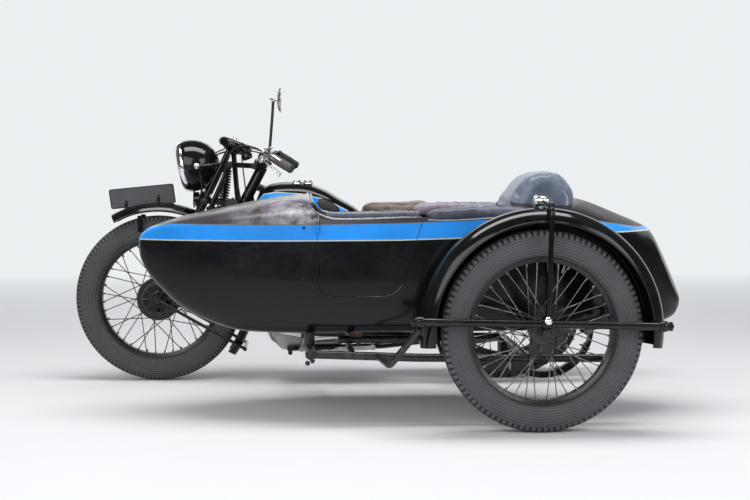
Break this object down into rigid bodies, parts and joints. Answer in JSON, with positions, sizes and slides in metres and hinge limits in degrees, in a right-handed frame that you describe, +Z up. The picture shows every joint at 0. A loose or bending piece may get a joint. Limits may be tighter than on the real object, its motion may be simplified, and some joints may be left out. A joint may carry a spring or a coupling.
{
  "type": "sidecar motorcycle",
  "caption": "Girder-fork motorcycle with a boat-bodied passenger sidecar on its left, on three wire-spoked wheels, with a steerable fork, opening sidecar door and swinging stands.",
  "frame": {"origin": "middle of the outfit's bounding box at the ground", "axes": "+X forward, +Y left towards the sidecar, +Z up"},
  "size_m": [2.2358, 1.6012, 1.1709],
  "materials": {
    "black_enamel": "gloss black stoved enamel",
    "blue_enamel": "blue and black gloss panels with gold lines",
    "dull_chassis_paint": "worn black paint with brown rust",
    "bright_chrome": "polished chrome plate",
    "cast_aluminium": "sand-cast and polished aluminium",
    "grey_iron": "black heat-proof coated iron fins",
    "bright_steel": "dull plated steel",
    "chain_steel": "oiled steel",
    "tyre_rubber": "dusty black rubber",
    "grip_rubber": "ribbed matt rubber",
    "blue_leather": "dark blue-grey hide",
    "plum_leather": "worn plum-grey hide",
    "brown_leather": "worn brown hide",
    "lamp_glass": "clear fluted glass",
    "black_plate": "plain satin black plate",
    "battery_case": "moulded black case"
  },
  "bodies": {
    "chassis": {"frame": "black_enamel", "crankcase": "cast_aluminium", "primary_case": "cast_aluminium", "cylinder_block": "grey_iron", "cylinder_head": "cast_aluminium", "carburettor": "bright_steel", "gearbox": "cast_aluminium", "rear_chain": "chain_steel", "exhaust": "bright_chrome", "kick_starter": "bright_chrome", "gear_lever": "bright_chrome", "brake_pedal": "bright_chrome", "fuel_tank": "blue_enamel", "saddle": "brown_leather", "saddle_springs": "bright_steel", "battery_box": "battery_case", "toolbox": "black_enamel", "rear_mudguard": "black_enamel", "rear_number_plate": "black_plate", "tail_lamp": "black_enamel", "footrests": "grip_rubber", "sidecar_body": "blue_enamel", "cockpit_coaming": "bright_chrome", "cockpit_side_pads": "plum_leather", "seat_hump": "blue_leather", "seat_back": "blue_leather", "seat_cushion": "blue_leather", "sidecar_chassis": "dull_chassis_paint", "c_springs": "dull_chassis_paint", "outer_rail": "dull_chassis_paint", "sidecar_mudguard": "black_enamel", "side_lamp": "bright_chrome"},
    "fork": {"steering_stem": "black_enamel", "fork_girder": "black_enamel", "fork_spring": "black_enamel", "front_brake_plate": "black_enamel", "front_mudguard": "black_enamel", "handlebar": "bright_chrome", "handlebar_grips": "grip_rubber", "control_levers": "bright_chrome", "mirror": "bright_chrome", "headlamp": "black_enamel", "headlamp_lens": "lamp_glass", "horn": "black_enamel", "instrument_head": "black_enamel"},
    "front_wheel_set": {"front_wheel": "bright_chrome", "front_tyre": "tyre_rubber"},
    "rear_wheel_set": {"rear_wheel": "bright_chrome", "rear_tyre": "tyre_rubber"},
    "sidecar_wheel_set": {"sidecar_wheel": "bright_chrome", "sidecar_tyre": "tyre_rubber"},
    "door": {"sidecar_door": "blue_enamel", "door_capping": "blue_leather"},
    "front_stand_legs": {"front_stand": "black_enamel"},
    "rear_stand_legs": {"rear_stand": "black_enamel"}
  },
  "joints": [
    {"name": "steering", "type": "hinge", "parent": "chassis", "child": "fork", "pos_m": [0.419, -0.41937, 0.768], "axis": [-0.454, 0, 0.891], "range_deg": [-28, 28]},
    {"name": "front_wheel_spin", "type": "hinge", "parent": "fork", "child": "front_wheel_set", "pos_m": [0.788, -0.41937, 0.33], "axis": [0, 1, 0], "continuous": true},
    {"name": "rear_wheel_spin", "type": "hinge", "parent": "chassis", "child": "rear_wheel_set", "pos_m": [-0.603, -0.41937, 0.33], "axis": [0, 1, 0], "continuous": true},
    {"name": "sidecar_wheel_spin", "type": "hinge", "parent": "chassis", "child": "sidecar_wheel_set", "pos_m": [-0.553, 0.70063, 0.33], "axis": [0, 1, 0], "continuous": true},
    {"name": "door_swing", "type": "hinge", "parent": "chassis", "child": "door", "pos_m": [0.172, 0.55323, 0.5], "axis": [0, 0, -1], "range_deg": [0, 85]},
    {"name": "front_stand_swing", "type": "hinge", "parent": "fork", "child": "front_stand_legs", "pos_m": [0.788, -0.41937, 0.33], "axis": [0, -1, 0], "range_deg": [0, 68]},
    {"name": "rear_stand_swing", "type": "hinge", "parent": "chassis", "child": "rear_stand_legs", "pos_m": [-0.603, -0.41937, 0.33], "axis": [0, -1, 0], "range_deg": [0, 78]}
  ]
}
